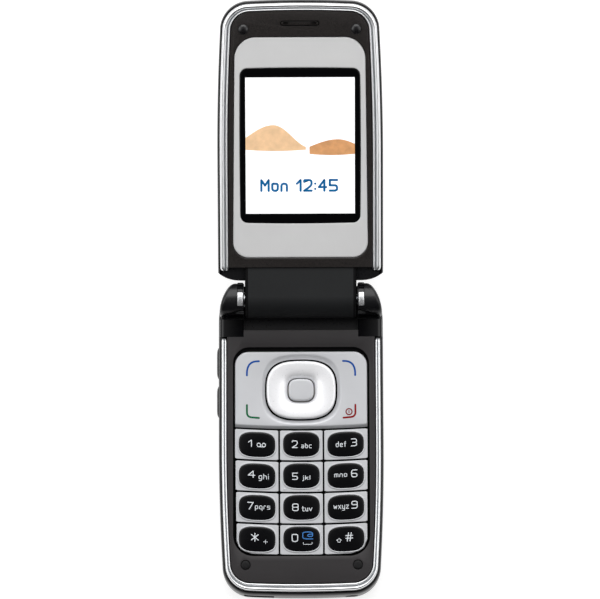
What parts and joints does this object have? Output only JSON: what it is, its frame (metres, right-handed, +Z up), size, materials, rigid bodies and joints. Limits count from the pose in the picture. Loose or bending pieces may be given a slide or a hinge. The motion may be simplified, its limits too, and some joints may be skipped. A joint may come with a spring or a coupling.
{
  "type": "flip phone",
  "caption": "Clamshell mobile phone standing open, with keypad base, display lid, barrel hinge, moving keys, sliding battery cover and internals.",
  "frame": {"origin": "middle of the base's flat back face, which it rests on, halfway along the base's length", "axes": "+X to the user's right, +Y from the keypad towards the open lid, +Z up out of the keypad"},
  "size_m": [0.0471, 0.1658, 0.04],
  "materials": {
    "graphite_plastic": "painted ABS, satin gloss",
    "deck_plastic": "painted ABS, fine satin",
    "bezel_plastic": "painted ABS, satin gloss",
    "chrome_trim": "bright chrome plating on ABS",
    "silver_plate": "anodised sheet, fine matt",
    "silver_key": "vacuum metallised, satin",
    "dark_rubber": "silicone rubber",
    "silicone": "silicone rubber",
    "polyester_film": "clear film with metal domes",
    "circuit_board": "solder resist",
    "spring_steel": "pressed sheet",
    "screw_steel": "turned, zinc plated",
    "tungsten": "sintered",
    "battery_wrap": "plain printed film",
    "gilt_contacts": "gold flashed",
    "flex_film": "polyimide film",
    "black_component": "moulded housing",
    "window_glass": "hard coated acrylic, printed black border",
    "display_panel": "lit white screen",
    "dark_mesh": "moulded grille"
  },
  "bodies": {
    "base": {"rear_shell": "graphite_plastic", "front_cover": "deck_plastic", "base_chrome_frame": "chrome_trim", "hinge_ear_left": "graphite_plastic", "hinge_ear_right": "graphite_plastic", "ear_trims": "chrome_trim", "deck_pads": "dark_rubber", "key_mat": "silicone", "dome_sheet": "polyester_film", "main_board": "circuit_board", "shield_cans": "spring_steel", "sim_reader": "spring_steel", "battery": "battery_wrap", "battery_contacts": "gilt_contacts", "charger_jack": "spring_steel", "system_connector": "spring_steel", "microphone": "spring_steel", "loudspeaker": "black_component", "vibration_motor": "spring_steel", "antenna": "gilt_contacts", "base_screws": "screw_steel", "hinge_shaft": "screw_steel", "hinge_bush": "spring_steel"},
    "lid": {"hinge_cartridge": "spring_steel", "hinge_flex": "flex_film", "hinge_block": "graphite_plastic", "lid_back_shell": "graphite_plastic", "lid_bezel": "bezel_plastic", "lid_chrome_frame": "chrome_trim", "face_plate": "silver_plate", "display_window": "window_glass", "main_display": "display_panel", "lid_board": "circuit_board", "outer_display": "black_component", "outer_window": "window_glass", "camera_module": "black_component", "earpiece": "black_component", "earpiece_grille": "dark_mesh", "lid_bumpers": "dark_rubber", "lid_screws": "screw_steel"},
    "battery_cover": {"battery_cover": "graphite_plastic"},
    "cover_latch": {"cover_latch": "graphite_plastic"},
    "vibration_weight": {"vibration_weight": "tungsten"},
    "volume_rocker": {"volume_rocker": "graphite_plastic"},
    "function_plate": {"function_plate": "silver_plate"},
    "navi_actuator": {"navi_actuator": "black_component"},
    "navi_ring": {"navi_ring": "silver_key"},
    "centre_key": {"centre_key": "silver_key"},
    "key_1": {"key_1": "silver_key"},
    "key_2": {"key_2": "silver_key"},
    "key_3": {"key_3": "silver_key"},
    "key_4": {"key_4": "silver_key"},
    "key_5": {"key_5": "silver_key"},
    "key_6": {"key_6": "silver_key"},
    "key_7": {"key_7": "silver_key"},
    "key_8": {"key_8": "silver_key"},
    "key_9": {"key_9": "silver_key"},
    "key_star": {"key_star": "silver_key"},
    "key_0": {"key_0": "silver_key"},
    "key_hash": {"key_hash": "silver_key"}
  },
  "joints": [
    {"name": "lid_hinge", "type": "hinge", "parent": "base", "child": "lid", "pos_m": [0, 0.03925, 0.016], "axis": [1, 0, 0], "range_deg": [0, 165]},
    {"name": "battery_cover_slide", "type": "slide", "parent": "base", "child": "battery_cover", "axis": [0, -1, 0], "range_m": [0, 0.004]},
    {"name": "cover_latch_press", "type": "slide", "parent": "base", "child": "cover_latch", "axis": [0, 0, 1], "range_m": [0, 0.0005], "stiffness_N_per_m": 1500},
    {"name": "vibration_spin", "type": "hinge", "parent": "base", "child": "vibration_weight", "pos_m": [-0.0054, 0.02385, 0.0036], "axis": [1, 0, 0], "continuous": true},
    {"name": "volume_rock", "type": "hinge", "parent": "base", "child": "volume_rocker", "pos_m": [-0.0222, 0.01675, 0.0076], "axis": [0, 0, 1], "range_deg": [-1.2, 1.2], "stiffness_Nm_per_rad": 0.4},
    {"name": "function_plate_rock", "type": "hinge", "parent": "base", "child": "function_plate", "pos_m": [0, 0.01415, 0.0115], "axis": [0, 1, 0], "range_deg": [-0.8, 0.8], "stiffness_Nm_per_rad": 4},
    {"name": "navi_rock_fore_aft", "type": "hinge", "parent": "base", "child": "navi_actuator", "pos_m": [0, 0.01415, 0.0113], "axis": [1, 0, 0], "range_deg": [-1.1, 1.1], "stiffness_Nm_per_rad": 2},
    {"name": "navi_rock_side", "type": "hinge", "parent": "navi_actuator", "child": "navi_ring", "pos_m": [0, 0.01415, 0.0113], "axis": [0, 1, 0], "range_deg": [-1.1, 1.1], "stiffness_Nm_per_rad": 2},
    {"name": "centre_key_press", "type": "slide", "parent": "base", "child": "centre_key", "axis": [0, 0, -1], "range_m": [0, 0.00025], "stiffness_N_per_m": 2000},
    {"name": "key_1_press", "type": "slide", "parent": "base", "child": "key_1", "axis": [0, 0, -1], "range_m": [0, 0.00025], "stiffness_N_per_m": 2000},
    {"name": "key_2_press", "type": "slide", "parent": "base", "child": "key_2", "axis": [0, 0, -1], "range_m": [0, 0.00025], "stiffness_N_per_m": 2000},
    {"name": "key_3_press", "type": "slide", "parent": "base", "child": "key_3", "axis": [0, 0, -1], "range_m": [0, 0.00025], "stiffness_N_per_m": 2000},
    {"name": "key_4_press", "type": "slide", "parent": "base", "child": "key_4", "axis": [0, 0, -1], "range_m": [0, 0.00025], "stiffness_N_per_m": 2000},
    {"name": "key_5_press", "type": "slide", "parent": "base", "child": "key_5", "axis": [0, 0, -1], "range_m": [0, 0.00025], "stiffness_N_per_m": 2000},
    {"name": "key_6_press", "type": "slide", "parent": "base", "child": "key_6", "axis": [0, 0, -1], "range_m": [0, 0.00025], "stiffness_N_per_m": 2000},
    {"name": "key_7_press", "type": "slide", "parent": "base", "child": "key_7", "axis": [0, 0, -1], "range_m": [0, 0.00025], "stiffness_N_per_m": 2000},
    {"name": "key_8_press", "type": "slide", "parent": "base", "child": "key_8", "axis": [0, 0, -1], "range_m": [0, 0.00025], "stiffness_N_per_m": 2000},
    {"name": "key_9_press", "type": "slide", "parent": "base", "child": "key_9", "axis": [0, 0, -1], "range_m": [0, 0.00025], "stiffness_N_per_m": 2000},
    {"name": "key_star_press", "type": "slide", "parent": "base", "child": "key_star", "axis": [0, 0, -1], "range_m": [0, 0.00025], "stiffness_N_per_m": 2000},
    {"name": "key_0_press", "type": "slide", "parent": "base", "child": "key_0", "axis": [0, 0, -1], "range_m": [0, 0.00025], "stiffness_N_per_m": 2000},
    {"name": "key_hash_press", "type": "slide", "parent": "base", "child": "key_hash", "axis": [0, 0, -1], "range_m": [0, 0.00025], "stiffness_N_per_m": 2000}
  ]
}
